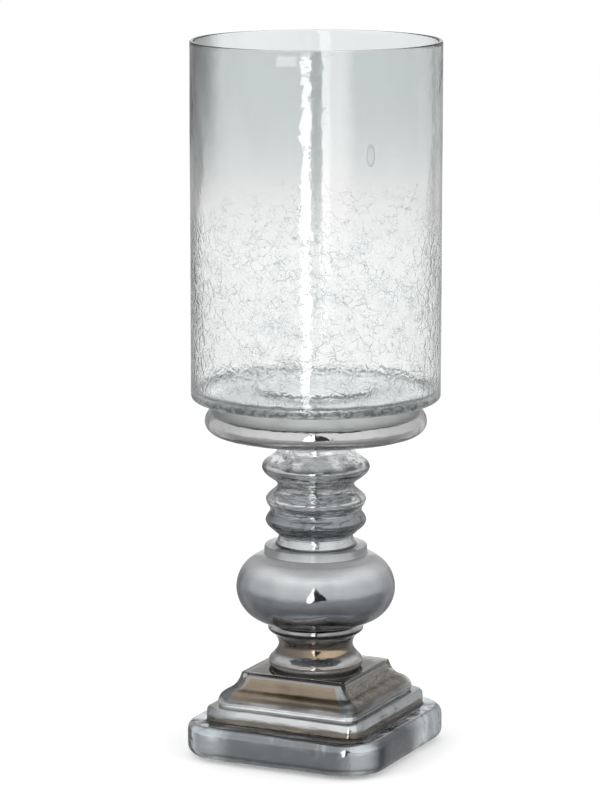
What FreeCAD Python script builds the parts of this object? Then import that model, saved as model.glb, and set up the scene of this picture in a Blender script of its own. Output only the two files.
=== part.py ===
"""Crackle-glass hurricane vessel on a silvered glass pedestal, in millimetres.

The origin is the centre of the resting face, +Z is up and the square base lies along X and Y.
"""
import FreeCAD, Part
import math
import os
import Sketcher
from FreeCAD import Vector

SIZES = {
    # bumper feet
    "foot_height": 1.5,
    "foot_radius": 6.0,
    "foot_offset": 56.0,
    # stepped base
    "plinth_side": 172.0,
    "plinth_height": 27.4,
    "plinth_corner": 35.5,
    "plinth_under_round": 8.3,
    "plinth_top_round": 6.9,
    "step_side": 138.0,
    "step_height": 12.1,
    "step_corner": 14.0,
    "step_round": 3.5,
    "lip_side": 123.6,
    "lip_height": 9.2,
    "lip_corner": 11.0,
    "lip_round": 4.2,
    "plateau_side": 91.0,
    "plateau_corner": 3.5,
    "pyramid_height": 17.3,
    "pyramid_hollow": 1.2,
    "base_wall": 6.0,
    "pour_hole_radius": 12.0,
    "pour_recess_radius": 17.0,
    "pour_recess_depth": 3.0,
    # stopper
    "stopper_flange": 2.2,
    "stopper_reach": 9.0,
    "stopper_gap": 0.2,
    # clear bonds between the blown pieces
    "bond_thickness": 0.4,
    "bond_margin": 1.0,
    "throat_radius": 22.0,
    # lower neck
    "neck_height": 36.6,
    "neck_foot_radius": 38.0,
    "neck_foot_round": 4.5,
    "neck_waist_radius": 29.9,
    "neck_waist_height": 17.9,
    "neck_collar_radius": 38.4,
    "neck_collar_height": 6.0,
    "neck_cove": 12.2,
    # bulb
    "bulb_height": 62.9,
    "bulb_foot_radius": 40.0,
    "bulb_foot_height": 0.7,
    "bulb_radius": 64.0,
    "bulb_crest_height": 28.2,
    "bulb_collar_radius": 41.3,
    "bulb_collar_height": 7.3,
    "bulb_wall": 5.0,
    # ringed stem
    "stem_height": 91.0,
    "stem_foot_radius": 32.6,
    "stem_foot_cove": 11.8,
    "foot_waist_radius": 30.0,
    "foot_waist_height": 7.4,
    "low_ring_radius": 40.5,
    "low_ring_height": 20.3,
    "low_ring_round": 7.5,
    "groove_radius": 36.3,
    "groove_height": 28.3,
    "mid_ring_radius": 40.2,
    "mid_ring_height": 36.4,
    "mid_ring_round": 7.5,
    "high_waist_radius": 30.5,
    "high_waist_height": 48.4,
    "top_ring_radius": 43.3,
    "top_ring_height": 63.2,
    "top_ring_round": 8.5,
    "stem_neck_radius": 30.5,
    "stem_neck_height": 78.5,
    # support dish
    "dish_height": 27.3,
    "dish_radius": 88.7,
    "dish_under_round": 9.0,
    "dish_shoulder_radius": 84.8,
    "dish_shoulder_height": 18.0,
    "dish_shoulder_round": 12.1,
    "dish_crown_radius": 64.0,
    "dish_crown_round": 28.0,
    "dish_wall": 5.0,
    "boss_radius": 46.0,
    "boss_height": 2.6,
    # hurricane vessel
    "vessel_radius": 100.0,
    "vessel_height": 284.9,
    "vessel_wall": 3.2,
    "vessel_floor": 6.5,
    "vessel_heel_round": 3.5,
    "vessel_inner_heel": 4.0,
    "rim_round": 1.4,
    "punt_push": 3.6,
    "punt_clearance": 1.4,
}

# Heights of the seats above the resting face, each resting on the one before.
BASE_SEAT = "Sizes.foot_height"
PLATEAU = (BASE_SEAT + " + Sizes.plinth_height + Sizes.step_height + Sizes.lip_height"
           " + Sizes.pyramid_height")
NECK_SEAT = PLATEAU + " + Sizes.bond_thickness"
BULB_BOND_SEAT = NECK_SEAT + " + Sizes.neck_height"
BULB_SEAT = BULB_BOND_SEAT + " + Sizes.bond_thickness"
STEM_BOND_SEAT = BULB_SEAT + " + Sizes.bulb_height"
STEM_SEAT = STEM_BOND_SEAT + " + Sizes.bond_thickness"
DISH_BOND_SEAT = STEM_SEAT + " + Sizes.stem_height"
DISH_SEAT = DISH_BOND_SEAT + " + Sizes.bond_thickness"
VESSEL_SEAT = DISH_SEAT + " + Sizes.dish_height"


# How closely an edge has to lie on a size to be picked by it.
TOUCH = 0.01
# Rounded squares between the lip and the plateau.
OGEE_STEPS = 4


def fill_sheet(doc):
    """Write every driving size to the sheet, with its alias."""
    sheet = doc.addObject("Spreadsheet::Sheet", "Sizes")
    for row, (alias, value) in enumerate(SIZES.items(), start=1):
        sheet.set(f"A{row}", alias.replace("_", " "))
        sheet.set(f"B{row}", str(value))
        sheet.setAlias(f"B{row}", alias)
    doc.recompute()
    return sheet


def new_body(doc, label, seat):
    """A body that stands on its seat height."""
    body = doc.addObject("PartDesign::Body", label)
    body.Label = label
    body.setExpression("Placement.Base.z", seat)
    return body


def new_sketch(body, name, role, height=None):
    """An empty sketch on one of the body's own origin planes, raised by a height."""
    sketch = body.newObject("Sketcher::SketchObject", name)
    plane = [part for part in body.Origin.OriginFeatures if part.Role == role][0]
    sketch.AttachmentSupport = [(plane, "")]
    sketch.MapMode = "FlatFace"
    if height:
        sketch.setExpression("AttachmentOffset.Base.z", height)
    return sketch


def bind(sketch, constraint, size):
    """Add a dimension to a sketch and tie it to the sheet."""
    index = sketch.addConstraint(constraint)
    sketch.setExpression(f"Constraints[{index}]", size)


class Outline:
    """A closed outline beside the Z axis, drawn from the axis outwards and upwards.

    Each point is given by its radius and height, as expressions on the sheet.
    In the sketcher's own numbers, geometry -1 is the level axis with the origin as its point 1,
    geometry -2 is the upright axis, and a piece's points are 1 start, 2 end and 3 centre.
    """

    def __init__(self, body, name, sheet):
        self.sketch = new_sketch(body, name, "XZ_Plane")
        self.sheet = sheet
        self.first = None
        self.last = None
        self.point = None

    def place(self, radius, height):
        """The point at a radius and a height."""
        return Vector(self.sheet.evalExpression(radius), self.sheet.evalExpression(height), 0)

    def pin(self, geometry, end, radius, height):
        """Fix one end of a piece by its radius and height."""
        if radius == "0":
            self.sketch.addConstraint(
                Sketcher.Constraint("PointOnObject", geometry, end, -2))
        else:
            across = Sketcher.Constraint(
                "DistanceX", -1, 1, geometry, end, self.sheet.evalExpression(radius))
            bind(self.sketch, across, radius)
        if height == "0":
            self.sketch.addConstraint(
                Sketcher.Constraint("PointOnObject", geometry, end, -1))
        else:
            up = Sketcher.Constraint(
                "DistanceY", -1, 1, geometry, end, self.sheet.evalExpression(height))
            bind(self.sketch, up, height)

    def join(self, geometry, end):
        """Hang the start of a piece on the end of the one before, or pin the first one."""
        if self.last is None:
            self.first = (geometry, end)
            self.pin(geometry, end, *self.start)
        else:
            self.sketch.addConstraint(Sketcher.Constraint("Coincident", *self.last, geometry, end))

    def begin(self, radius, height):
        """Start the outline at a point."""
        self.start = (radius, height)
        self.point = self.place(radius, height)

    def run(self, radius, height):
        """A straight run to a point."""
        target = self.place(radius, height)
        line = self.sketch.addGeometry(Part.LineSegment(self.point, target))
        self.join(line, 1)
        self.pin(line, 2, radius, height)
        self.last = (line, 2)
        self.point = target

    def add_arc(self, centre, target, bend, convex):
        """Draw an arc about a centre to a target; returns it with its first and last ends."""
        angles = [math.atan2(end.y - centre.y, end.x - centre.x) for end in (self.point, target)]
        if not convex:
            angles = [angle % (2 * math.pi) for angle in reversed(angles)]
        circle = Part.Circle(centre, Vector(0, 0, 1), bend)
        arc = self.sketch.addGeometry(Part.ArcOfCircle(circle, *angles))
        return (arc, 1, 2) if convex else (arc, 2, 1)

    def sweep(self, radius, height, bend, convex=True):
        """One round curve to a point, bulging outwards or hollow."""
        target = self.place(radius, height)
        size = self.sheet.evalExpression(bend)
        chord = target - self.point
        reach = math.sqrt(size ** 2 - chord.Length ** 2 / 4)
        inwards = Vector(-chord.y, chord.x, 0).normalize()
        side = 1 if convex else -1
        centre = (self.point + target) * 0.5 + inwards * (reach * side)
        arc, first, last = self.add_arc(centre, target, size, convex)
        self.join(arc, first)
        bind(self.sketch, Sketcher.Constraint("Radius", arc, size), bend)
        self.pin(arc, last, radius, height)
        self.last = (arc, last)
        self.point = target

    def swell(self, radius, height, bend):
        """A hollow curve and a round one, upright at both ends, between a waist and a crest."""
        target = self.place(radius, height)
        size = self.sheet.evalExpression(bend)
        outwards = target.x > self.point.x
        waist, crest = (self.point, target) if outwards else (target, self.point)
        round_centre = Vector(crest.x - size, crest.y, 0)
        gap = waist - round_centre
        hollow = (gap.Length ** 2 - size ** 2) / (2 * (size - gap.x))
        hollow_centre = Vector(waist.x + hollow, waist.y, 0)
        meet = round_centre + (hollow_centre - round_centre) * (size / (size + hollow))
        halves = [(hollow_centre, hollow, False), (round_centre, size, True)]
        if not outwards:
            halves.reverse()
        centre, reach, convex = halves[0]
        arc, first, last = self.add_arc(centre, meet, reach, convex)
        self.join(arc, first)
        self.level(arc, first)
        self.dimension(arc, convex, bend, size)
        self.point = meet
        centre, reach, convex = halves[1]
        other, other_first, other_last = self.add_arc(centre, target, reach, convex)
        self.sketch.addConstraint(Sketcher.Constraint("Tangent", arc, last, other, other_first))
        self.level(other, other_last)
        self.dimension(other, convex, bend, size)
        self.pin(other, other_last, radius, height)
        self.last = (other, other_last)
        self.point = target

    def level(self, arc, end):
        """Keep an arc upright at one end."""
        self.sketch.addConstraint(Sketcher.Constraint("Horizontal", arc, 3, arc, end))

    def dimension(self, arc, convex, bend, size):
        """Give the round half of a swell its radius."""
        if convex:
            bind(self.sketch, Sketcher.Constraint("Radius", arc, size), bend)

    def close(self):
        """Close the outline with a straight line back to its start."""
        line = self.sketch.addGeometry(Part.LineSegment(self.point, self.place(*self.start)))
        self.join(line, 1)
        self.sketch.addConstraint(Sketcher.Constraint("Coincident", line, 2, *self.first))
        return self.sketch


def spin(doc, body, sketch, kind="PartDesign::Revolution"):
    """Turn an outline into a solid, or with a groove into a hollow."""
    feature = body.newObject(kind, sketch.Name + "Spin")
    feature.Profile = sketch
    feature.ReferenceAxis = (sketch, ["V_Axis"])
    feature.Angle = 360
    doc.recompute()
    return feature


def throat(body, sheet, height):
    """The outline of the straight hole through a turned piece."""
    outline = Outline(body, "Throat", sheet)
    outline.begin("0", "0")
    outline.run("Sizes.throat_radius", "0")
    outline.run("Sizes.throat_radius", height)
    outline.run("0", height)
    return outline.close()


def lower_neck(doc, sheet):
    """Waisted neck between the plateau of the base and the bulb."""
    body = new_body(doc, "lower_neck", NECK_SEAT)
    outline = Outline(body, "NeckOutline", sheet)
    outline.begin("0", "0")
    outline.run("Sizes.neck_foot_radius - Sizes.neck_foot_round", "0")
    outline.sweep("Sizes.neck_foot_radius", "Sizes.neck_foot_round", "Sizes.neck_foot_round")
    outline.swell("Sizes.neck_waist_radius", "Sizes.neck_waist_height", "Sizes.neck_foot_round")
    outline.sweep("Sizes.neck_collar_radius", "Sizes.neck_height - Sizes.neck_collar_height",
                  "Sizes.neck_cove", convex=False)
    outline.run("Sizes.neck_collar_radius", "Sizes.neck_height")
    outline.run("0", "Sizes.neck_height")
    spin(doc, body, outline.close())
    spin(doc, body, throat(body, sheet, "Sizes.neck_height"), "PartDesign::Groove")
    return body


def crest_round(reach, rise):
    """Radius of the curve that is upright at a crest and ends a reach inwards and a rise away."""
    return f"(({reach})^2 + ({rise})^2) / (2 * ({reach}))"


def bulb(doc, sheet):
    """Round hollow bulb with a collar on its shoulder."""
    body = new_body(doc, "bulb", BULB_SEAT)
    shoulder = "Sizes.bulb_height - Sizes.bulb_collar_height"
    lower_round = crest_round("Sizes.bulb_radius - Sizes.bulb_foot_radius",
                              "Sizes.bulb_crest_height - Sizes.bulb_foot_height")
    upper_round = crest_round("Sizes.bulb_radius - Sizes.bulb_collar_radius",
                              f"{shoulder} - Sizes.bulb_crest_height")
    outline = Outline(body, "BulbOutline", sheet)
    outline.begin("0", "0")
    outline.run("Sizes.bulb_foot_radius", "0")
    outline.run("Sizes.bulb_foot_radius", "Sizes.bulb_foot_height")
    outline.sweep("Sizes.bulb_radius", "Sizes.bulb_crest_height", lower_round)
    outline.sweep("Sizes.bulb_collar_radius", shoulder, upper_round)
    outline.run("Sizes.bulb_collar_radius", "Sizes.bulb_height")
    outline.run("0", "Sizes.bulb_height")
    spin(doc, body, outline.close())
    spin(doc, body, throat(body, sheet, "Sizes.bulb_height"), "PartDesign::Groove")
    hollow = Outline(body, "BulbHollow", sheet)
    low = f"Sizes.bulb_crest_height - {lower_round} + Sizes.bulb_wall"
    high = f"Sizes.bulb_crest_height + {upper_round} - Sizes.bulb_wall"
    hollow.begin("0", low)
    hollow.run(f"Sizes.bulb_radius - {lower_round}", low)
    hollow.sweep("Sizes.bulb_radius - Sizes.bulb_wall", "Sizes.bulb_crest_height",
                 f"{lower_round} - Sizes.bulb_wall")
    hollow.sweep(f"Sizes.bulb_radius - {upper_round}", high,
                 f"{upper_round} - Sizes.bulb_wall")
    hollow.run("0", high)
    spin(doc, body, hollow.close(), "PartDesign::Groove")
    return body


def ringed_stem(doc, sheet):
    """Stem with three rings between waists."""
    body = new_body(doc, "ringed_stem", STEM_SEAT)
    outline = Outline(body, "StemOutline", sheet)
    outline.begin("0", "0")
    outline.run("Sizes.stem_foot_radius", "0")
    outline.sweep("Sizes.foot_waist_radius", "Sizes.foot_waist_height", "Sizes.stem_foot_cove",
                  convex=False)
    rings = (("low_ring", "groove"), ("mid_ring", "high_waist"), ("top_ring", "stem_neck"))
    for ring, waist in rings:
        crest_round = f"Sizes.{ring}_round"
        outline.swell(f"Sizes.{ring}_radius", f"Sizes.{ring}_height", crest_round)
        outline.swell(f"Sizes.{waist}_radius", f"Sizes.{waist}_height", crest_round)
    outline.run("Sizes.stem_neck_radius", "Sizes.stem_height")
    outline.run("0", "Sizes.stem_height")
    spin(doc, body, outline.close())
    spin(doc, body, throat(body, sheet, "Sizes.stem_height"), "PartDesign::Groove")
    return body


def support_dish(doc, sheet):
    """Fat round-edged disc with a boss on its crown that centres the vessel."""
    body = new_body(doc, "support_dish", DISH_SEAT)
    outline = Outline(body, "DishOutline", sheet)
    crown = "Sizes.dish_height"
    outline.begin("0", "0")
    outline.run("Sizes.dish_radius - Sizes.dish_under_round", "0")
    outline.sweep("Sizes.dish_radius", "Sizes.dish_under_round", "Sizes.dish_under_round")
    outline.sweep("Sizes.dish_shoulder_radius", "Sizes.dish_shoulder_height",
                  "Sizes.dish_shoulder_round")
    outline.sweep("Sizes.dish_crown_radius", crown, "Sizes.dish_crown_round")
    outline.run("Sizes.boss_radius", crown)
    outline.run("Sizes.boss_radius", crown + " + Sizes.boss_height")
    outline.run("0", crown + " + Sizes.boss_height")
    spin(doc, body, outline.close())
    spin(doc, body, throat(body, sheet, "Sizes.dish_wall"), "PartDesign::Groove")
    hollow = Outline(body, "DishHollow", sheet)
    ceiling = "Sizes.dish_height - Sizes.dish_wall"
    hollow.begin("0", "Sizes.dish_wall")
    hollow.run("Sizes.dish_radius - Sizes.dish_under_round", "Sizes.dish_wall")
    hollow.sweep("Sizes.dish_radius - Sizes.dish_wall", "Sizes.dish_under_round",
                 "Sizes.dish_under_round - Sizes.dish_wall")
    hollow.run("Sizes.dish_crown_radius", ceiling)
    hollow.run("0", ceiling)
    spin(doc, body, hollow.close(), "PartDesign::Groove")
    return body


def hurricane_cylinder(doc, sheet):
    """Open-topped glass vessel with a pushed-up punt in its floor."""
    body = new_body(doc, "hurricane_cylinder", VESSEL_SEAT)
    outline = Outline(body, "VesselOutline", sheet)
    punt = "Sizes.boss_radius + Sizes.punt_clearance"
    punt_height = "Sizes.boss_height + Sizes.punt_clearance"
    inside = "Sizes.vessel_radius - Sizes.vessel_wall"
    floor = "Sizes.vessel_floor"
    kick = "Sizes.vessel_floor + Sizes.punt_push"
    outline.begin("0", punt_height)
    outline.run(punt, punt_height)
    outline.run(punt, "0")
    outline.run("Sizes.vessel_radius - Sizes.vessel_heel_round", "0")
    outline.sweep("Sizes.vessel_radius", "Sizes.vessel_heel_round", "Sizes.vessel_heel_round")
    outline.run("Sizes.vessel_radius", "Sizes.vessel_height")
    outline.run(inside, "Sizes.vessel_height")
    outline.run(inside, floor)
    outline.run(punt, floor)
    outline.run(punt, kick)
    outline.run("0", kick)
    spun = spin(doc, body, outline.close())
    heel = soften(doc, body, spun, "InnerHeel", "Sizes.vessel_inner_heel",
                  circles_at(spun, inside, floor, sheet))
    kick_edge = soften(doc, body, heel, "KickEdge", "Sizes.punt_push * 0.9",
                       circles_at(heel, punt, kick, sheet))
    rim = circles_at(kick_edge, inside, "Sizes.vessel_height", sheet)
    rim += circles_at(kick_edge, "Sizes.vessel_radius", "Sizes.vessel_height", sheet)
    soften(doc, body, kick_edge, "Rim", "Sizes.rim_round", rim)
    return body


def circles_at(feature, radius, height, sheet):
    """Names of the feature's round edges at a radius and a height above its seat."""
    radius = sheet.evalExpression(radius)
    height = sheet.evalExpression(height)
    names = []
    for index, edge in enumerate(feature.Shape.Edges, start=1):
        box = edge.BoundBox
        at_radius = abs(box.XMax - radius) < TOUCH
        if at_radius and abs(box.ZMin - height) < TOUCH and abs(box.ZMax - height) < TOUCH:
            names.append(f"Edge{index}")
    return names


def level_edges(feature, height, half, sheet):
    """Names of the feature's level edges at a height whose loop reaches half a side."""
    height = sheet.evalExpression(height)
    half = sheet.evalExpression(half)
    names = []
    for index, edge in enumerate(feature.Shape.Edges, start=1):
        box = edge.BoundBox
        level = abs(box.ZMin - height) < TOUCH and abs(box.ZMax - height) < TOUCH
        reach = max(abs(box.XMin), abs(box.XMax), abs(box.YMin), abs(box.YMax))
        if level and abs(reach - half) < TOUCH:
            names.append(f"Edge{index}")
    return names


def soften(doc, body, base, name, size, edges):
    """Round off some edges of a feature."""
    fillet = body.newObject("PartDesign::Fillet", name)
    fillet.Base = (base, edges)
    fillet.setExpression("Radius", size)
    doc.recompute()
    return fillet


def rounded_square(body, name, sheet, side, corner, height=None):
    """A sketch of a square with round corners, centred on the axis."""
    sketch = new_sketch(body, name, "XY_Plane", height)
    half = sheet.evalExpression(side) / 2
    bend = sheet.evalExpression(corner)
    flat = half - bend
    up = Vector(0, 0, 1)
    lines = []
    arcs = []
    for quarter in range(4):
        turn = quarter * math.pi / 2
        spot = FreeCAD.Rotation(up, math.degrees(turn))
        ends = [spot.multVec(Vector(half, y, 0)) for y in (-flat, flat)]
        lines.append(sketch.addGeometry(Part.LineSegment(*ends)))
        circle = Part.Circle(spot.multVec(Vector(flat, flat, 0)), up, bend)
        arcs.append(sketch.addGeometry(Part.ArcOfCircle(circle, turn, turn + math.pi / 2)))
    for quarter in range(4):
        following = lines[(quarter + 1) % 4]
        direction = "Vertical" if quarter % 2 == 0 else "Horizontal"
        sketch.addConstraint(Sketcher.Constraint(direction, lines[quarter]))
        sketch.addConstraint(Sketcher.Constraint("Tangent", lines[quarter], 2, arcs[quarter], 1))
        sketch.addConstraint(Sketcher.Constraint("Tangent", arcs[quarter], 2, following, 1))
    for quarter in range(1, 4):
        sketch.addConstraint(Sketcher.Constraint("Equal", arcs[0], arcs[quarter]))
    bind(sketch, Sketcher.Constraint("Radius", arcs[0], bend), corner)
    bind(sketch, Sketcher.Constraint("DistanceX", -1, 1, lines[0], 1, half), f"({side}) / 2")
    bind(sketch, Sketcher.Constraint("DistanceX", lines[2], 1, -1, 1, half), f"({side}) / 2")
    bind(sketch, Sketcher.Constraint("DistanceY", -1, 1, lines[1], 1, half), f"({side}) / 2")
    bind(sketch, Sketcher.Constraint("DistanceY", lines[3], 1, -1, 1, half), f"({side}) / 2")
    return sketch


def pad(doc, body, sketch, length, kind="PartDesign::Pad"):
    """Raise a sketch into a block, or with a pocket cut one upwards."""
    feature = body.newObject(kind, sketch.Name + "Block")
    feature.Profile = sketch
    feature.setExpression("Length", length)
    feature.Reversed = kind == "PartDesign::Pocket"
    doc.recompute()
    return feature


def round_hole(doc, body, name, radius, depth, height=None):
    """A round pocket on the axis, cut upwards from a height."""
    sketch = new_sketch(body, name, "XY_Plane", height)
    circle = sketch.addGeometry(Part.Circle(Vector(), Vector(0, 0, 1), 1))
    sketch.addConstraint(Sketcher.Constraint("Coincident", circle, 3, -1, 1))
    bind(sketch, Sketcher.Constraint("Radius", circle, 1), radius)
    return pad(doc, body, sketch, depth, "PartDesign::Pocket")


def loft(doc, body, name, sections, kind="PartDesign::AdditiveLoft"):
    """Join sketches from the lowest to the highest."""
    feature = body.newObject(kind, name)
    feature.Profile = sections[0]
    feature.Sections = sections[1:]
    doc.recompute()
    return feature


def stepped_base(doc, sheet):
    """Hollow square base: plinth, step, lip and a hollow-sided pyramid, blown in one."""
    body = new_body(doc, "stepped_base", BASE_SEAT)
    plinth_top = "Sizes.plinth_height"
    step_top = plinth_top + " + Sizes.step_height"
    lip_top = step_top + " + Sizes.lip_height"
    plateau = lip_top + " + Sizes.pyramid_height"
    tiers = (
        ("Plinth", "plinth", "0", plinth_top, "plinth_top_round"),
        ("Step", "step", plinth_top, step_top, "step_round"),
        ("Lip", "lip", step_top, lip_top, "lip_round"),
    )
    for name, tier, low, high, top_round in tiers:
        side = f"Sizes.{tier}_side"
        outline = rounded_square(body, name, sheet, side, f"Sizes.{tier}_corner", low)
        block = pad(doc, body, outline, f"Sizes.{tier}_height")
        if tier == "plinth":
            under = level_edges(block, "0", side + " / 2", sheet)
            block = soften(doc, body, block, "PlinthUnder", "Sizes.plinth_under_round", under)
        top_edges = level_edges(block, high, side + " / 2", sheet)
        soften(doc, body, block, name + "Top", f"Sizes.{top_round}", top_edges)
    sections = []
    start_side = "(Sizes.lip_side - 2 * Sizes.lip_round)"
    start_corner = "(Sizes.lip_corner - Sizes.lip_round)"
    for index in range(OGEE_STEPS + 1):
        share = index / OGEE_STEPS
        left = f"{1 - share}^Sizes.pyramid_hollow"
        side = f"Sizes.plateau_side + ({start_side} - Sizes.plateau_side) * {left}"
        corner = f"{start_corner} + (Sizes.plateau_corner - {start_corner}) * {share}"
        height = f"{lip_top} + Sizes.pyramid_height * {share}"
        sections.append(rounded_square(body, f"Ogee{index}", sheet, side, corner, height))
    loft(doc, body, "Pyramid", sections)
    wall = "Sizes.base_wall"
    hollow = rounded_square(body, "PlinthHollow", sheet, f"Sizes.plinth_side - 2 * {wall}",
                            f"Sizes.plinth_corner - {wall}", wall)
    pad(doc, body, hollow, f"Sizes.plinth_height - 2 * {wall}", "PartDesign::Pocket")
    lower = rounded_square(body, "CoreFoot", sheet, f"Sizes.step_side - 2 * {wall}",
                           f"Sizes.step_corner - {wall}", f"Sizes.plinth_height - {wall}")
    upper = rounded_square(body, "CoreHead", sheet, f"Sizes.plateau_side - 2 * {wall}",
                           "Sizes.plateau_corner", f"{plateau} - {wall}")
    loft(doc, body, "Core", [lower, upper], "PartDesign::SubtractiveLoft")
    round_hole(doc, body, "Throat", "Sizes.throat_radius", wall, f"{plateau} - {wall}")
    round_hole(doc, body, "PourHole", "Sizes.pour_hole_radius", wall, "0")
    round_hole(doc, body, "PourRecess", "Sizes.pour_recess_radius", "Sizes.pour_recess_depth",
               "0")
    return body


def silvering_stopper(doc, sheet):
    """Flanged stopper that closes the hole the silvering was poured through."""
    body = new_body(doc, "silvering_stopper", BASE_SEAT)
    outline = Outline(body, "StopperOutline", sheet)
    flange = "Sizes.pour_recess_radius - Sizes.stopper_gap"
    shank = "Sizes.pour_hole_radius - Sizes.stopper_gap"
    under = "Sizes.pour_recess_depth - Sizes.stopper_flange"
    outline.begin("0", under)
    outline.run(flange, under)
    outline.run(flange, "Sizes.pour_recess_depth")
    outline.run(shank, "Sizes.pour_recess_depth")
    outline.run(shank, "Sizes.stopper_reach")
    outline.run("0", "Sizes.stopper_reach")
    spin(doc, body, outline.close())
    return body


def bond(doc, label, seat, radius):
    """Thin clear ring that joins two blown pieces."""
    body = new_body(doc, label, seat)
    sketch = new_sketch(body, "Ring", "XY_Plane")
    for size in (f"{radius} - Sizes.bond_margin", "Sizes.throat_radius"):
        circle = sketch.addGeometry(Part.Circle(Vector(), Vector(0, 0, 1), 1))
        sketch.addConstraint(Sketcher.Constraint("Coincident", circle, 3, -1, 1))
        bind(sketch, Sketcher.Constraint("Radius", circle, 1), size)
    pad(doc, body, sketch, "Sizes.bond_thickness")
    return body


def bumper_feet(doc):
    """Four alike clear discs under the corners of the plinth."""
    feet = []
    for across, along in ((1, 1), (-1, 1), (-1, -1), (1, -1)):
        foot = doc.addObject("Part::Cylinder", f"Foot{len(feet) + 1}")
        foot.setExpression("Radius", "Sizes.foot_radius")
        foot.setExpression("Height", BASE_SEAT)
        foot.setExpression("Placement.Base.x", f"Sizes.foot_offset * {across}")
        foot.setExpression("Placement.Base.y", f"Sizes.foot_offset * {along}")
        feet.append(foot)
    group = doc.addObject("Part::Compound", "bumper_feet")
    group.Label = "bumper_feet"
    group.Links = feet
    return group


def check_and_write(doc, pieces):
    """Stop on any failed object or bad shape, then write one file for each piece."""
    for part in doc.Objects:
        if "Invalid" in part.State or "Error" in part.State:
            raise RuntimeError(f"{part.Label} failed: {part.State}")
    os.makedirs("parts", exist_ok=True)
    for piece in pieces:
        shape = piece.Shape
        if shape.isNull() or not shape.isValid():
            raise RuntimeError(f"{piece.Label} has no valid shape")
        box = shape.BoundBox
        print(f"{piece.Label}: {len(shape.Solids)} solid, {shape.Volume / 1000:.1f} cm3, "
              f"z {box.ZMin:.2f} to {box.ZMax:.2f}, x {box.XMin:.2f} to {box.XMax:.2f}")
        shape.exportStep(f"parts/{piece.Label}.step")


def main():
    doc = FreeCAD.newDocument("Hurricane")
    sheet = fill_sheet(doc)
    pieces = [
        bumper_feet(doc),
        stepped_base(doc, sheet),
        silvering_stopper(doc, sheet),
        bond(doc, "neck_bond", PLATEAU, "(Sizes.neck_foot_radius - Sizes.neck_foot_round)"),
        lower_neck(doc, sheet),
        bond(doc, "bulb_bond", BULB_BOND_SEAT, "Sizes.neck_collar_radius"),
        bulb(doc, sheet),
        bond(doc, "stem_bond", STEM_BOND_SEAT, "Sizes.stem_foot_radius"),
        ringed_stem(doc, sheet),
        bond(doc, "dish_bond", DISH_BOND_SEAT, "Sizes.stem_neck_radius"),
        support_dish(doc, sheet),
        hurricane_cylinder(doc, sheet),
    ]
    doc.recompute()
    check_and_write(doc, pieces)


main()
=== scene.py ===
"""Crackle-glass hurricane lantern on a silvered glass pedestal, dressed over its solid frame."""
import math
from functools import partialmethod

import bmesh
import bpy
from bpy.props import FloatProperty, FloatVectorProperty, IntProperty, PointerProperty
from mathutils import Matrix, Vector


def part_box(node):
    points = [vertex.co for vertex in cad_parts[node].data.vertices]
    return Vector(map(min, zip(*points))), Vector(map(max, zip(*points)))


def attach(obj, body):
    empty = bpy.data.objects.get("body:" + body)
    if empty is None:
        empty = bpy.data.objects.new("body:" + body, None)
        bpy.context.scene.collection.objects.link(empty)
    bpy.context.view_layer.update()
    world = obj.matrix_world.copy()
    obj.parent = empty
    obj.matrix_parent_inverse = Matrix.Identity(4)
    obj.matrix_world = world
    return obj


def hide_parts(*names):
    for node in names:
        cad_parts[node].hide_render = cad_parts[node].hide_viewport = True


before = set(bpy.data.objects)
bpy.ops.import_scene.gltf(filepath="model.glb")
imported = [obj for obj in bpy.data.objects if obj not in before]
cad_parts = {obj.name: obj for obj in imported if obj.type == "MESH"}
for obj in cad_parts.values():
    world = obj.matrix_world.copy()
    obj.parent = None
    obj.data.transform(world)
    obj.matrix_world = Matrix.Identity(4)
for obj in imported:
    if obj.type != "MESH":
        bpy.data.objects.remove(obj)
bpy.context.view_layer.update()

bl_info = {
    "name": "Hurricane lantern finish",
    "version": (1, 0, 0),
    "blender": (4, 5, 0),
    "location": "3D View > Sidebar > Lantern",
    "description": "Blown glass, silvering and studio for a hurricane lantern on a stepped foot",
    "category": "Object",
}

MM = 0.001


# ---------------------------------------------------------------- sizes and colours

def length(name, description, default, **more):
    """A length setting in metres."""
    return FloatProperty(name=name, description=description, default=default, unit="LENGTH", **more)


def angle(name, description, degrees):
    """An angle setting."""
    return FloatProperty(
        name=name, description=description, default=math.radians(degrees), subtype="ANGLE")


def hue(name, description, default):
    """A colour setting."""
    return FloatVectorProperty(
        name=name, description=description, default=default, subtype="COLOR", size=3)


class LanternPedestalSizes(bpy.types.PropertyGroup):
    """Sizes of the silvered pedestal."""
    turned_steps: IntProperty(
        name="Turned steps", description="Faces round each turned piece", default=160, min=24)
    glass_over_silver: length(
        "Glass over silver", "Clear glass between the skin and the silvering", 3.2 * MM, min=0.0)
    dish_glass: length(
        "Dish glass", "Clear glass over the silvering of the dish", 1.2 * MM, min=0.0)
    step_glass: length(
        "Step glass", "Clear glass over the silvering of the foot's steps", 1.8 * MM, min=0.0)
    corner_glass: length(
        "Corner glass", "Clear glass over the silvering of the sloping sides", 4.4 * MM, min=0.0)
    ripple: length("Ripple", "How far the blown skin swells and sinks", 0.5 * MM, min=0.0)
    pour_recess: length(
        "Pour recess", "Radius of the recess round the silvering stopper", 17.0 * MM, min=0.0)


class LanternVesselSizes(bpy.types.PropertyGroup):
    """Sizes of the hurricane vessel."""
    wall: length("Wall", "Thickness of the side wall", 3.2 * MM)
    floor: length("Floor", "Thickness of the vessel's floor", 6.5 * MM)
    ripple: length("Ripple", "How far the blown wall swells and sinks", 0.55 * MM, min=0.0)
    crackle_line: length(
        "Crackle line", "Height above the floor where the crackle fades out", 150.0 * MM)
    crackle_cell: length("Crackle cell", "Usual width of one crackled flake", 9.0 * MM)


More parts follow.
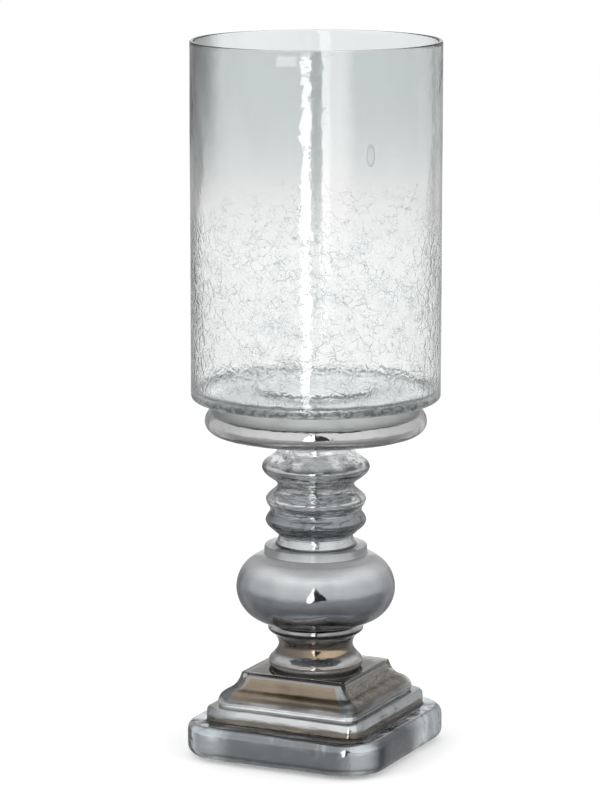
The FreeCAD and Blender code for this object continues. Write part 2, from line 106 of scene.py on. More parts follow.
class LanternFinishColours(bpy.types.PropertyGroup):
    """Colours of the glass and the silvering."""
    smoke: hue("Smoke", "Tint of the vessel at its rim", (0.685, 0.725, 0.725))
    clear: hue("Clear", "Tint of the vessel below the smoke", (0.985, 0.99, 0.99))
    crack: hue("Crack", "Tint of the crackle lines", (0.30, 0.35, 0.365))
    pedestal_glass: hue("Pedestal glass", "Tint of the glass over the silvering", (0.86, 0.885, 0.90))
    silver: hue("Silver", "Silvering behind the glass", (0.66, 0.67, 0.675))
    foot_silver: hue("Foot silver", "Darker silvering of the stepped foot", (0.47, 0.49, 0.505))
    dish_silver: hue("Dish silver", "Brighter silvering of the dish", (0.71, 0.71, 0.695))
    bronze: hue("Bronze", "Thin, browned silvering of the neck and the foot", (0.30, 0.232, 0.162))


class LanternStudioSettings(bpy.types.PropertyGroup):
    """Camera, floor and lamps."""
    camera_turn: angle("Camera turn", "Angle of the camera round the lantern", 25.28)
    camera_aside: angle("Camera aside", "How far the camera looks past the lantern's axis", 0.25)
    camera_dip: angle("Camera dip", "How far the camera looks down", 10.43)
    camera_distance: length(
        "Camera distance", "Level distance from the camera to the lantern", 2.9071)
    camera_height: length("Camera height", "Height of the camera above the floor", 0.8200)
    lens: FloatProperty(name="Lens", description="Focal length in millimetres", default=166.93)
    floor_size: length("Floor size", "Width of the studio floor", 2.4)
    floor_colour: hue("Floor colour", "Pale studio floor", (0.86, 0.86, 0.86))


# ---------------------------------------------------------------- modelling helpers

def node_base(node):
    """Height of the underside of a solid, in millimetres."""
    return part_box(node)[0].z / MM


def node_top(node):
    """Height of the top of a solid, in millimetres."""
    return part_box(node)[1].z / MM


def clear_selection():
    """Leave nothing selected and no mesh being edited."""
    if bpy.context.object is not None and bpy.context.object.mode != "OBJECT":
        bpy.ops.object.mode_set(mode="OBJECT")
    bpy.ops.object.select_all(action="DESELECT")


def choose(piece):
    """Select one piece alone and make it the active one."""
    bpy.ops.object.select_all(action="DESELECT")
    piece.select_set(True)
    bpy.context.view_layer.objects.active = piece


def choose_open_edges(wire):
    """Select the borders of the mesh being edited, with or without its loose edges."""
    bpy.ops.mesh.select_non_manifold(
        extend=False, use_wire=wire, use_boundary=True, use_multi_face=False,
        use_non_contiguous=False, use_verts=False)


def arc(centre, radius, start, end, steps=12):
    """Points of a round curve; angles in degrees, from outwards over upwards."""
    points = []
    for step in range(steps + 1):
        turn = math.radians(start + (end - start) * step / steps)
        points.append((centre[0] + radius * math.cos(turn), centre[1] + radius * math.sin(turn)))
    return points


def flow(points, spans=4):
    """A smooth run of points through the given ones, of any width."""
    result = []
    last = len(points) - 1
    for index in range(last):
        before = points[max(index - 1, 0)]
        here = points[index]
        after = points[index + 1]
        beyond = points[min(index + 2, last)]
        for step in range(spans):
            t = step / spans
            row = []
            for a, b, c, d in zip(before, here, after, beyond):
                row.append(0.5 * (2 * b + (c - a) * t + (2 * a - 5 * b + 4 * c - d) * t ** 2
                                  + (3 * b - a - 3 * c + d) * t ** 3))
            result.append(tuple(row))
    result.append(tuple(points[last]))
    return result


def sunk(outline, depth):
    """The outline moved inwards by a depth."""
    result = []
    last = len(outline) - 1
    for index, (radius, height) in enumerate(outline):
        before = outline[max(index - 1, 0)]
        after = outline[min(index + 1, last)]
        along = Vector((after[0] - before[0], after[1] - before[1]))
        if along.length < 1e-6:
            continue
        along.normalize()
        result.append((max(radius - along.y * depth, 0.0), height + along.x * depth))
    return result


def lifted(outline, height):
    """The outline raised by a height."""
    return [(radius, level + height) for radius, level in outline]


def turned_piece(name, outline, steps):
    """Spin an outline, given in millimetres from the axis outwards and upwards, round Z."""
    clear_selection()
    radius, height = outline[0]
    bpy.ops.mesh.primitive_plane_add(size=MM, location=(radius * MM, 0, height * MM))
    piece = bpy.context.object
    piece.name = name
    piece.data.name = name
    bpy.ops.object.mode_set(mode="EDIT")
    bpy.ops.mesh.merge(type="CENTER")
    for (radius, height), (next_radius, next_height) in zip(outline, outline[1:]):
        shift = ((next_radius - radius) * MM, 0, (next_height - height) * MM)
        bpy.ops.mesh.extrude_region_move(TRANSFORM_OT_translate={"value": shift})
    bpy.ops.mesh.select_all(action="SELECT")
    bpy.ops.mesh.spin(steps=steps, angle=math.tau, center=(0, 0, 0), axis=(0, 0, 1))
    bpy.ops.mesh.select_all(action="SELECT")
    bpy.ops.mesh.remove_doubles(threshold=2e-6)
    bpy.ops.mesh.normals_make_consistent(inside=False)
    bpy.ops.object.mode_set(mode="OBJECT")
    bpy.ops.object.transform_apply(location=True, rotation=True, scale=True)
    return piece


def squared_piece(name, levels):
    """Bridge rounded squares, given as half side, corner radius and height in millimetres."""
    clear_selection()
    piece = None
    for half, corner, height in levels:
        bpy.ops.mesh.primitive_plane_add(size=2 * half * MM, location=(0, 0, height * MM))
        if piece is None:
            piece = bpy.context.object
            piece.name = name
            piece.data.name = name
            bpy.ops.object.transform_apply(location=True, rotation=True, scale=True)
            bpy.ops.object.mode_set(mode="EDIT")
            bpy.ops.mesh.select_all(action="SELECT")
        first = height == levels[0][2] and half == levels[0][0]
        bpy.ops.mesh.bevel(offset=corner * MM, segments=9, profile=0.5, affect="VERTICES",
                           clamp_overlap=False)
        work = bmesh.from_edit_mesh(piece.data)
        straight = 2 * (half - corner) * MM
        for edge in work.edges:
            edge.select = edge.select and abs(edge.calc_length() - straight) < 0.02 * MM
        work.select_mode = {"EDGE"}
        work.select_flush_mode()
        bmesh.update_edit_mesh(piece.data)
        bpy.ops.mesh.select_mode(type="EDGE")
        bpy.ops.mesh.subdivide(number_cuts=11)
        if not first:
            work = bmesh.from_edit_mesh(piece.data)
            for face in work.faces:
                face.select = len(face.verts) > 4 and all(
                    abs(vertex.co.z - height * MM) < 1e-7 for vertex in face.verts)
            loose = [face for face in work.faces if face.select]
            keep = [face for face in loose if all(len(e.link_faces) == 1 for e in face.edges)]
            for face in loose:
                face.select = face in keep
            bmesh.update_edit_mesh(piece.data)
            bpy.ops.mesh.delete(type="ONLY_FACE")
            bpy.ops.mesh.select_all(action="DESELECT")
            choose_open_edges(True)
            bpy.ops.mesh.bridge_edge_loops()
        bpy.ops.mesh.select_mode(type="VERT")
        bpy.ops.mesh.select_all(action="DESELECT")
    bpy.ops.mesh.select_mode(type="EDGE")
    choose_open_edges(False)
    bpy.ops.mesh.edge_face_add()
    bpy.ops.mesh.select_all(action="SELECT")
    bpy.ops.mesh.normals_make_consistent(inside=False)
    bpy.ops.mesh.select_mode(type="VERT")
    bpy.ops.object.mode_set(mode="OBJECT")
    return piece


def ripple(piece, depth, scale, flatness=0.5):
    """Give a blown skin its soft swells."""
    texture = bpy.data.textures.new(piece.name + " swells", "CLOUDS")
    texture.noise_scale = scale
    texture.noise_depth = 1
    choose(piece)
    bpy.ops.object.modifier_add(type="DISPLACE")
    swell = piece.modifiers[-1]
    swell.texture = texture
    swell.texture_coords = "LOCAL"
    swell.strength = depth
    swell.mid_level = flatness
    bpy.ops.object.modifier_apply(modifier=swell.name)


def finish_piece(piece, body, slot, material, *nodes):
    """Shade a piece smooth, give it its material and hang it on its body."""
    choose(piece)
    bpy.ops.object.shade_smooth_by_angle(angle=math.radians(40))
    piece.data.materials.clear()
    piece.data.materials.append(material)
    if nodes:
        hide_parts(*nodes)
    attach(piece, body)
    piece.select_set(False)
    return piece


# ---------------------------------------------------------------- material helpers

BLACK = (0.0, 0.0, 0.0)
WHITE = (1.0, 1.0, 1.0)
GLASS_IOR = 1.5
# level directions towards the camera and towards its right
FRONT = (0.427, -0.904)
RIGHT = (0.904, 0.427)


class Value:
    """A number or colour in a node tree; sums of such values become maths nodes."""

    def __init__(self, socket):
        self.socket = socket

    def worked(self, operation, *others):
        """The result of a sum that starts with this value."""
        return maths(operation, self, *others)

    def __rsub__(self, other):
        return maths("SUBTRACT", other, self)

    __add__ = __radd__ = partialmethod(worked, "ADD")
    __sub__ = partialmethod(worked, "SUBTRACT")
    __mul__ = partialmethod(worked, "MULTIPLY")
    __truediv__ = partialmethod(worked, "DIVIDE")
    __pow__ = partialmethod(worked, "POWER")
    __abs__ = partialmethod(worked, "ABSOLUTE")
    __lt__ = partialmethod(worked, "LESS_THAN")
    __gt__ = partialmethod(worked, "GREATER_THAN")


def feed(node, inputs):
    """Link sockets to values or set them, by name or number."""
    for name, value in inputs.items():
        if isinstance(value, Value):
            node.id_data.links.new(value.socket, node.inputs[name])
        else:
            node.inputs[name].default_value = value


def place(tree, kind, inputs=None, **settings):
    """Add a node, set its own settings and feed its sockets."""
    node = tree.nodes.new(kind)
    for key, value in settings.items():
        setattr(node, key, value)
    feed(node, inputs or {})
    return node


def made(kind, inputs, output=0, **settings):
    """A result of a new node beside the values that feed it."""
    tree = next(value.socket.id_data for value in inputs.values() if isinstance(value, Value))
    return Value(place(tree, kind, inputs, **settings).outputs[output])


def maths(operation, *values, clamp=False):
    """A maths node's result."""
    return made("ShaderNodeMath", dict(enumerate(values)), operation=operation, use_clamp=clamp)


def greater(*values):
    """The greater of two values."""
    return maths("MAXIMUM", *values)


def stretch(value, low, high, to_low=0.0, to_high=1.0, smooth=True):
    """Map a value from one range to another."""
    inputs = {"Value": value, "From Min": low, "From Max": high, "To Min": to_low, "To Max": to_high}
    kind = "SMOOTHSTEP" if smooth else "LINEAR"
    return made("ShaderNodeMapRange", inputs, "Result", interpolation_type=kind, clamp=True)


def band(level, low, high, edge):
    """A mask between two levels, soft over an edge."""
    return stretch(level, low - edge, low + edge) * stretch(level, high - edge, high + edge, 1.0, 0.0)


def fade(factor, first, second):
    """Go from one value to another."""
    return made("ShaderNodeMix", {0: factor, 2: first, 3: second}, data_type="FLOAT",
                clamp_factor=True)


def blend(factor, first, second):
    """Mix two colours."""
    pair = [value if isinstance(value, Value) else (*value, 1.0) for value in (first, second)]
    return made("ShaderNodeMix", {0: factor, 6: pair[0], 7: pair[1]}, 2, data_type="RGBA",
                clamp_factor=True)


def shade(colour, factor):
    """A colour made darker or lighter by a factor."""
    return [factor * part for part in colour]


def noise(vector, scale, detail=2.0, roughness=0.5, distortion=0.0, output=0):
    """A noise texture's grey result, or its coloured one."""
    inputs = {"Vector": vector, "Scale": scale, "Detail": detail, "Roughness": roughness,
              "Distortion": distortion}
    return made("ShaderNodeTexNoise", inputs, output, noise_dimensions="3D")


def cells(vector, scale, feature, output):
    """A result of a Voronoi texture."""
    return made("ShaderNodeTexVoronoi", {"Vector": vector, "Scale": scale}, output, feature=feature)


def shifted(operation, first, inputs):
    """A vector maths node's result."""
    return made("ShaderNodeVectorMath", {0: first, **inputs}, operation=operation)


def mapped(vector, scale, rotation=(0.0, 0.0, 0.0)):
    """Coordinates turned and scaled."""
    return made("ShaderNodeMapping", {"Vector": vector, "Rotation": rotation, "Scale": scale})


def parts(vector):
    """The X, Y and Z of a vector."""
    first = made("ShaderNodeSeparateXYZ", {0: vector})
    return [Value(part) for part in first.socket.node.outputs]


def along(x, y, direction, size=1.0):
    """How far a place lies along a level direction, measured in a size."""
    return x * (direction[0] / size) + y * (direction[1] / size)


def open_group(tree, inputs, outputs):
    """Give a group its sockets; the values that come in, and the node that they leave by."""
    for name, default in inputs.items():
        kind = {tuple: "NodeSocketColor", float: "NodeSocketFloat"}.get(type(default), "NodeSocketVector")
        item = tree.interface.new_socket(name=name, in_out="INPUT", socket_type=kind)
        if default is not None:
            item.default_value = default
    for name, kind in outputs.items():
        tree.interface.new_socket(name=name, in_out="OUTPUT", socket_type="NodeSocket" + kind)
    start = tree.nodes.new("NodeGroupInput")
    return {name: Value(start.outputs[name]) for name in inputs}, tree.nodes.new("NodeGroupOutput")


def grouped(name, build, inputs):
    """The results of a node group, which is made once."""
    if name not in bpy.data.node_groups:
        build(bpy.data.node_groups.new(name, "ShaderNodeTree"))
    first = made("ShaderNodeGroup", inputs, node_tree=bpy.data.node_groups[name])
    return {result.name: Value(result) for result in first.socket.node.outputs}


def build_crackle(tree):
    """Lines and height of crackled glass."""
    given, end = open_group(tree, {"Vector": None, "Cells": 110.0, "Warp": 0.004},
                            {"Lines": "Float", "Height": "Float"})
    drift = noise(given["Vector"], 75.0, 3.0, output=1)
    offset = shifted("SUBTRACT", drift, {1: (0.5, 0.5, 0.5)})
    offset = shifted("SCALE", offset, {"Scale": given["Warp"]})
    moved = shifted("ADD", given["Vector"], {1: offset})
    wide = cells(moved, given["Cells"], "DISTANCE_TO_EDGE", "Distance")
    fine = cells(moved, given["Cells"] * 2.1, "DISTANCE_TO_EDGE", "Distance")
    tone = made("ShaderNodeSeparateColor", {0: cells(moved, given["Cells"], "F1", "Color")}, 1)
    patch = noise(given["Vector"], 38.0)
    fine_line = stretch(fine, 0.0, 0.045, 0.8, 0.0) * stretch(patch, 0.54, 0.64)
    broken = stretch(noise(moved, 95.0, 1.0), 0.42, 0.56, 0.05, 1.0)
    lines = greater(stretch(wide, 0.0, 0.032, 1.0, 0.0), fine_line) * broken
    feed(end, {"Lines": lines, "Height": stretch(wide, 0.0, 0.22) + tone * 0.35 - lines * 0.6})


def build_ombre(tree):
    """A tint that thins from one height to another, with an uneven edge."""
    given, end = open_group(tree, {"Vector": None, "Low": 0.4, "High": 0.55, "Unevenness": 0.02},
                            {"Mask": "Float"})
    wander = (noise(given["Vector"], 14.0, 3.0) - 0.5) * given["Unevenness"]
    level = parts(given["Vector"])[2] + wander
    feed(end, {"Mask": stretch(level, given["Low"], given["High"])})


def build_mottle(tree):
    """Cloudy unevenness and fine specks of silvering."""
    given, end = open_group(
        tree, {"Vector": None, "Colour": (0.6, 0.6, 0.6, 1.0), "Worn colour": (0.4, 0.35, 0.3, 1.0),
               "Amount": 0.3}, {"Colour out": "Color", "Height": "Float"})
    cloud = stretch(noise(given["Vector"], 26.0, 4.0, 0.55), 0.42, 0.72)
    specks = stretch(noise(given["Vector"], 420.0), 0.66, 0.72, 0.0, 0.5)
    mask = maths("ADD", cloud, specks, clamp=True) * given["Amount"]
    feed(end, {"Colour out": blend(mask, given["Colour"], given["Worn colour"]),
               "Height": noise(given["Vector"], 48.0)})


def build_flecks(tree):
    """Ragged bright and dark flecks of torn silvering."""
    given, end = open_group(tree, {"Vector": None, "Softness": 0.0},
                            {"Bright": "Float", "Dark": "Float"})
    soft = given["Softness"]
    rough = noise(given["Vector"], 120.0, 5.0, 0.65, 0.7)
    other = noise(given["Vector"], 210.0, 4.0, 0.6, 0.6)
    feed(end, {"Bright": stretch(rough, 0.53 - soft, 0.53 + soft),
               "Dark": stretch(other, 0.59 - soft, 0.59 + soft)})


def bare_tree(owner, output_kind):
    """The empty node tree of a material or a world, and its output."""
    owner.use_nodes = True
    owner.node_tree.nodes.clear()
    return owner.node_tree, place(owner.node_tree, output_kind)


def new_material(name):
    """A material with a Principled shader, and its object coordinates."""
    material = bpy.data.materials.new(name)
    tree, output = bare_tree(material, "ShaderNodeOutputMaterial")
    shader = place(tree, "ShaderNodeBsdfPrincipled")
    tree.links.new(shader.outputs[0], output.inputs[0])
    return material, shader, Value(place(tree, "ShaderNodeTexCoord").outputs["Object"])


def add_bump(shader, height, strength, distance):
    """Feed a height to the shader's normal."""
    feed(shader, {"Normal": made("ShaderNodeBump", {
        "Strength": strength, "Distance": distance, "Height": height})})


def vessel_material(colours, sizes):
    """Smoked rim, clear middle and crackled lower part of the vessel."""
    material, shader, coords = new_material("ombre crackle glass")
    low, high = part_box("hurricane_cylinder")
    base, top = low.z, high.z
    skin = (high.x - low.x) / 2 - 0.5 * sizes.wall
    inside = sizes.floor + base
    line = base + sizes.crackle_line
    x, y, z = parts(coords)
    across = maths("SQRT", x ** 2.0 + y ** 2.0)
    toward = along(x, y, FRONT)
    frayed = noise(coords, 90.0, 3.0) - 0.5
    beside = along(x, y, RIGHT) + frayed * 0.006
    front = stretch(toward, 0.06, 0.07)
    # smoke, with painted shade deeper on the front wall, a painted highlight beside the lamp's strip and
    # a painted dark reflection along it
    smoked = grouped("ombre", build_ombre, {
        "Vector": coords, "Low": line - 0.018, "High": top, "Unevenness": 0.03})["Mask"]
    cloud = noise(mapped(coords, (1.0, 1.0, 0.12)), 34.0, 3.0)
    smoke = smoked ** 0.42 * stretch(cloud, 0.3, 0.7, 0.78, 1.0)
    # painted highlight: the smoke thins in a streak beside the lamp's strip
    painted_highlight = stretch(beside, 0.0040, 0.0050) * stretch(beside, 0.018, 0.034, 1.0, 0.0)
    # painted reflection: a dark strip along the lamp's strip
    painted_dark_strip = band(beside, -0.0042, 0.0045, 0.0005)
    # painted shade: the smoke deepens towards the front
    painted_shading = stretch(toward, -0.08, 0.08, 0.55, 1.25, smooth=False)
    painted_shading = painted_shading * fade(front * painted_highlight, 1.0, 0.22) * fade(front * painted_dark_strip, 1.0, 1.35)
    # painted highlight: a small patch near the rim in front where the smoke thins
    spot = (band(beside + frayed * 0.004, -0.0300, -0.0150, 0.0022)
            * band(z + frayed * 0.004, top - 0.0125, top - 0.0045, 0.0016))
    smoke = smoke * painted_shading * fade(spot * front, 1.0, 0.25)
    tint = blend(smoke, colours.clear, colours.smoke)
    warm = band(z, base + 0.148, base + 0.186, 0.014)
    tint = blend(warm * 0.18, tint, (1.0, 0.93, 0.925))
    # painted shade: more smoke along the left edge
    margin = stretch(beside * -1.0, 0.074, 0.093) * smoked
    tint = blend(maths("MULTIPLY", margin, 0.95, clamp=True), tint, shade(colours.smoke, 0.45))
    # painted dark reflection along the lamp's strip, on the front wall
    tint = blend(front * painted_dark_strip * smoke * 0.7, tint, shade(colours.smoke, 0.8))
    # crackle, and painted shade along the ragged heel under it
    crackle = grouped("crackle", build_crackle, {
        "Vector": coords, "Cells": 1.0 / sizes.crackle_cell, "Warp": 0.013})
    crackled = 1.0 - grouped("ombre", build_ombre, {
        "Vector": coords, "Low": line - 0.022, "High": line + 0.012, "Unevenness": 0.08})["Mask"]
    lines = crackle["Lines"] * crackled
    tint = blend(lines * 0.95, tint, colours.crack)
    # painted shade: a dark, speckled band round the heel
    heel = stretch(z, base + 0.009, base + 0.004) * stretch(across, 0.080, 0.088)
    tint = blend(heel * 0.9, tint, (0.34, 0.38, 0.36))
    speckle = heel * stretch(noise(coords, 230.0, 3.0), 0.47, 0.55)
    # painted shade in the creases of the floor: round the boss, at the floor's edge and at the foot of
    # the wall
    torn = across + frayed * 0.005
    ring = band(torn, 0.0466, 0.0494, 0.0006) * band(z, inside - 0.0005, inside + 0.0034, 0.0003)
    ring = ring * stretch(abs(beside), 0.036, 0.047, 0.85, 0.2)
    edge_line = (band(torn, skin - 0.0052, skin - 0.0024, 0.0006)
                 * band(z, inside, inside + 0.0035, 0.0004))
    wall_line = (band(z + frayed * 0.010, inside + 0.0026, inside + 0.0042, 0.0005)
                 * stretch(across, skin - 0.0026, skin - 0.0022) * stretch(toward, 0.02, -0.02))
    crease_shade = greater(ring, greater(edge_line * 0.6, wall_line * 0.45))
    tint = blend(greater(crease_shade, speckle * 0.8), tint, shade(colours.crack, 0.12))
    # trapped bubbles: clear, with a thin grey outline
    trapped = band(across, skin - 0.0005, skin + 0.0005, 0.0002) * stretch(z, base + 0.05, base + 0.06)
    outline = band(across, skin - 0.00044, skin - 0.00024, 0.00002)
    tint = blend(trapped, tint, blend(outline, WHITE, (0.80, 0.82, 0.82)))
    # painted light: the vessel's floor glows faintly, apart from its creases
    vessel_floor_glow = (stretch(across, skin - 0.0060, skin - 0.0080)
             * band(z, inside - 0.0008, inside + 0.0045, 0.0002) * (1.0 - crease_shade))
    feed(shader, {"Base Color": tint, "Roughness": lines * 0.12, "IOR": GLASS_IOR,
                  "Transmission Weight": 1.0, "Emission Strength": 1.0,
                  "Emission Color": blend(vessel_floor_glow, BLACK, (0.13, 0.135, 0.14))})
    inner = stretch(across, skin - 0.0004, skin + 0.0004, 1.0, 0.16) + heel * 1.6
    middle = band(beside, -0.022, 0.006, 0.008) * front
    height = crackle["Height"] * crackled * inner + noise(coords, 62.0) * 0.7
    height = height + noise(coords, 95.0) * fade(middle, 1.2, 5.0)
    add_bump(shader, height, 0.12, 0.0006)
    return material


def pedestal_glass_material(name, colour, wavy):
    """Thin smoke glass over the silvering."""
    material, shader, coords = new_material(name)
    mottle = grouped("mottle", build_mottle, {
        "Vector": coords, "Colour": (*colour, 1.0), "Worn colour": (*shade(colour, 0.86), 1.0),
        "Amount": 0.4})
    feed(shader, {"Base Color": mottle["Colour out"], "Roughness": 0.01, "IOR": GLASS_IOR,
                  "Transmission Weight": 1.0})
    add_bump(shader, mottle["Height"], wavy, 0.0012)
    return material


def foot_film(film, colour, coords, drift, plinth, panel):
    """Tone the foot: its plinth with painted light at its ends, its framed slopes, and painted shade on
    its right faces and left end; also what is torn.
    """
    x, y, z = parts(coords)
    top, dark = plinth
    # painted light: pale clouds at the plinth's ends, with faint pale clouds elsewhere
    cloud = noise(mapped(coords, (1.0, 1.0, 0.35), (0.0, 0.6, 0.0)), 26.0, 4.0, 0.6, 0.8)
    ends = greater(stretch(x, -0.030, -0.055), stretch(y, -0.005, 0.025))
    ends = greater(ends, stretch(x - y, 0.140, 0.149))
    lit_ends_and_clouds = greater(stretch(cloud, 0.40, 0.54, 0.45, 1.0) * ends, stretch(cloud, 0.56, 0.64, 0.0, 0.3))
    # painted shade at the right end of the plinth
    aside = stretch(x, 0.0780, 0.0830) * stretch(y, 0.015, -0.010)
    body = blend(lit_ends_and_clouds, blend(aside * 0.85, dark, (0.06, 0.07, 0.08)), shade(colour, 1.7))
    film = blend(stretch(z, top + 0.0008, top - 0.0008), film, body)
    low, high, margin, tone, frame_tone = panel
    sides = [abs(x), abs(y)]
    inset = greater(*sides) - margin - maths("MINIMUM", *sides)
    depth = maths("MINIMUM", maths("SMOOTH_MIN", inset, z - low, 0.013), high - z) + drift * 0.25
    film = blend(band(z, low - 0.002, high + 0.0010, 0.0006), film, frame_tone)
    film = blend(stretch(depth, -0.0002, 0.0006), film, tone)
    blotch = stretch(noise(coords, 34.0, 3.0), 0.50, 0.68, 0.0, 0.6)
    film = blend(stretch(depth, 0.001, 0.004) * blotch, film,
                 [0.6 * tone[0], 0.52 * tone[1], 0.48 * tone[2]])
    # painted shade on the right faces above the plinth
    right = stretch(x - sides[1], 0.001, 0.004)
    film = blend(right * stretch(z, top, top + 0.001, 0.0, 0.42), film, (0.04, 0.043, 0.045))
    # painted shade at the left end above the plinth
    left = stretch(x, -0.036, -0.060, 0.0, 0.5) * stretch(z, top, top + 0.001)
    film = blend(left, film, (0.06, 0.065, 0.07))
    return film, right, stretch(depth, 0.0008, 0.0024) * (right * 0.40)


def silvering_material(name, colour, bands, painted_glow, foot=None, wear_and_glow=None, veins=None, satin=(),
                       glint=None, darker=None, wavy=0.3):
    """Metal film behind the glass, toned in bands of height, many of them painted light and shade, and
    torn in places; it can carry a painted glow and painted shade along its outlines.
    """
    material, shader, coords = new_material(name)
    x, y, z = parts(coords)
    drift = (noise(coords, 30.0) - 0.5) * 0.006
    level = z + drift
    film = colour
    patch = stretch(noise(coords, 21.0, 3.0), 0.30, 0.68, 0.85, 1.0)
    ridged = mapped(coords, (1.0, 1.0, 3.2 if veins is None else 5.5))
    for low, high, edge, tone, amount in bands:
        film = blend(band(level, low, high, edge) * amount * patch, film, tone)
    gloss, glow, torn, grain, softness = 0.05, 0.0, None, WHITE, 0.03
    if foot is not None:
        film, right, torn = foot_film(film, colour, coords, drift, *foot)
        grain, softness = (1.0, 1.3, 2.6), 0.09
    if glint is not None:
        middle, tall, wide, tone = glint
        beside = along(x, y, RIGHT, wide)
        far = abs(beside) ** 1.6 + abs((level - middle) / tall) ** 1.6
        film = blend(stretch(far, 1.15, 0.80) * stretch(beside, -0.5, 0.4, 0.1, 1.0), film, tone)
    if veins is not None:
        off = abs(noise(ridged, 24.0, 3.0, 0.55, 0.6) - 0.5)
        vein = stretch(off, 0.008, 0.024, 0.6, 0.0) * band(z, *veins, 0.002)
        film = blend(vein, film, shade(colour, 0.22))
    if wear_and_glow is not None:
        whole = band(level, *wear_and_glow)
        torn = whole * stretch(abs(along(x, y, RIGHT)), 0.006, 0.020, 0.3, 1.0)
    if torn is not None:
        flecks = grouped("flecks", build_flecks, {
            "Vector": mapped(coords, grain), "Softness": softness})
        film = blend(torn * flecks["Dark"], film, shade(colour, 0.25))
        film = blend(torn * flecks["Bright"], film, [min(1.45 * part, 0.96) for part in colour])
        gloss = torn * 0.22 + gloss
    # painted light: the worn band and its bright flecks glow
    if wear_and_glow is not None:
        painted_fleck_glow = flecks["Bright"] * 0.34 - flecks["Dark"] * 0.07
        glow = painted_fleck_glow * torn + whole * 0.26
    # painted light: a glow in a band of height
    glow = glow + band(level, *painted_glow[:3]) * painted_glow[3]
    # painted shade: less glow on the foot's right faces
    if foot is not None:
        glow = glow * fade(right, 1.0, 0.35)
    for low, high, edge, rough in satin:
        gloss = fade(band(z, low, high, edge), gloss, rough)
    # painted shade: the film darkens where the surface turns away from the view
    if darker is not None:
        facing = Value(place(shader.id_data, "ShaderNodeLayerWeight").outputs["Facing"])
        film = blend(stretch(facing, 0.15, 0.24, 0.0, darker), film, (0.02, 0.02, 0.02))
    mottle = grouped("mottle", build_mottle, {
        "Vector": coords, "Colour": film, "Worn colour": blend(0.25, film, BLACK), "Amount": 0.5})
    feed(shader, {"Base Color": mottle["Colour out"], "Metallic": 1.0, "Roughness": gloss,
                  "Emission Color": blend(glow, BLACK, WHITE), "Emission Strength": 1.0})
    add_bump(shader, mottle["Height"] + noise(ridged, 75.0, 3.0) * 0.35, wavy, 0.002)
    return material


# ---------------------------------------------------------------- outlines, in millimetres

STEM_OUTLINE = [
    (32.6, 0.0), (31.6, 2.2), (30.4, 5.0), (30.0, 7.4), (31.4, 9.3), (33.9, 11.3), (36.1, 13.3),
    (38.2, 15.3), (39.7, 17.3), (40.5, 20.0), (39.4, 23.3), (37.5, 26.0), (36.7, 28.3),
    (37.5, 31.0), (39.1, 33.3), (40.2, 36.8), (39.5, 39.3), (37.7, 41.3), (35.5, 43.3),
    (32.9, 45.3), (31.3, 47.3), (31.1, 49.3), (32.5, 51.3), (34.8, 53.3), (37.5, 55.3),
    (39.9, 57.3), (41.8, 59.3), (43.1, 61.8), (43.2, 64.2), (41.6, 67.3), (39.0, 69.6),
    (36.0, 71.6), (33.0, 73.8), (30.9, 76.4), (30.3, 79.5), (30.5, 85.0), (30.5, 91.0),
]
NECK_OUTLINE = [
    (34.6, 0.0), (36.6, 1.2), (37.8, 3.0), (37.9, 5.0), (37.0, 7.2), (35.3, 9.2), (33.2, 11.4),
    (31.4, 13.8), (30.3, 16.2), (29.9, 18.4), (30.3, 20.8), (31.4, 23.4), (33.2, 26.0),
    (35.6, 28.4), (37.6, 29.9), (38.4, 31.2), (38.4, 33.5), (38.2, 35.6), (37.4, 36.6),
]
FOOT_FLANK = [
    (60.6, 11.5, 39.5), (61.3, 11.5, 41.0), (61.6, 11.5, 43.1), (61.4, 11.3, 45.0),
    (60.6, 11.0, 46.7), (59.8, 10.5, 48.2), (58.7, 10.0, 49.6), (57.3, 9.4, 50.8),
    (55.7, 8.7, 51.9), (53.8, 8.0, 52.9), (51.8, 7.3, 54.0), (50.2, 6.6, 55.6),
    (48.8, 6.0, 57.4), (47.7, 5.4, 59.4), (46.8, 4.9, 61.4), (46.1, 4.3, 63.4),
    (45.5, 3.8, 65.0), (44.8, 3.4, 65.8), (43.9, 3.0, 66.0),
]


def foot_levels(depth, corner_depth):
    """Rounded squares of the stepped foot, sunk by a depth at its steps and one at its slopes."""
    levels = []
    for radius, height in arc((77.7, 8.3), 8.3 - depth, -90, 0, 8):
        levels.append((radius, 35.5 - (86.0 - radius), height))
    for radius, height in arc((79.1, 20.5), 6.9 - depth, 0, 90, 8):
        levels.append((radius, 35.5 - (86.0 - radius), height))
    levels.append((70.2 - depth, 15.2 - depth, 27.4 - depth))
    levels.append((69.2 - depth, 14.2 - depth, 28.0 - depth))
    levels.append((69.0 - depth, 14.0 - depth, 30.0 - depth))
    for radius, height in arc((65.5, 36.0), 3.5, 0, 90, 6):
        levels.append((radius - depth, 14.0 - depth - (69.0 - radius), height - depth))
    levels.append((62.0 - depth, 11.8 - depth, 39.5 - depth))
    for half, corner, height in flow(FOOT_FLANK, 2):
        sink = depth + (corner_depth - depth) * min(max((height - 42.0) / 8.0, 0.0), 1.0)
        levels.append((half - sink, max(corner - sink * 0.6, 1.6), height - sink * 0.8))
    return levels


# ---------------------------------------------------------------- operators

def finish_glass(piece, *nodes, material="pedestal smoke glass"):
    """Finish a glass or silvered piece of the pedestal."""
    finish_piece(piece, "pedestal", "silvered_smoke_glass", bpy.data.materials[material], *nodes)


def closed_up(outline):
    """An outline closed to the axis at both ends."""
    return [(0.0, outline[0][1]), *outline, (0.0, outline[-1][1])]


def silvered_turning(node, outline, film, swell, scale, silver, glass="pedestal smoke glass"):
    """Turn a glass skin and the silvered lining inside it."""
    steps = bpy.context.scene.lantern_pedestal.turned_steps
    skin = turned_piece(node + "_glass", lifted(closed_up(outline), node_base(node)), steps)
    ripple(skin, swell, scale)
    finish_glass(skin, node, material=glass)
    lining = turned_piece(node + "_silvering", lifted(closed_up(film), node_base(node)), steps)
    finish_glass(lining, material=silver)


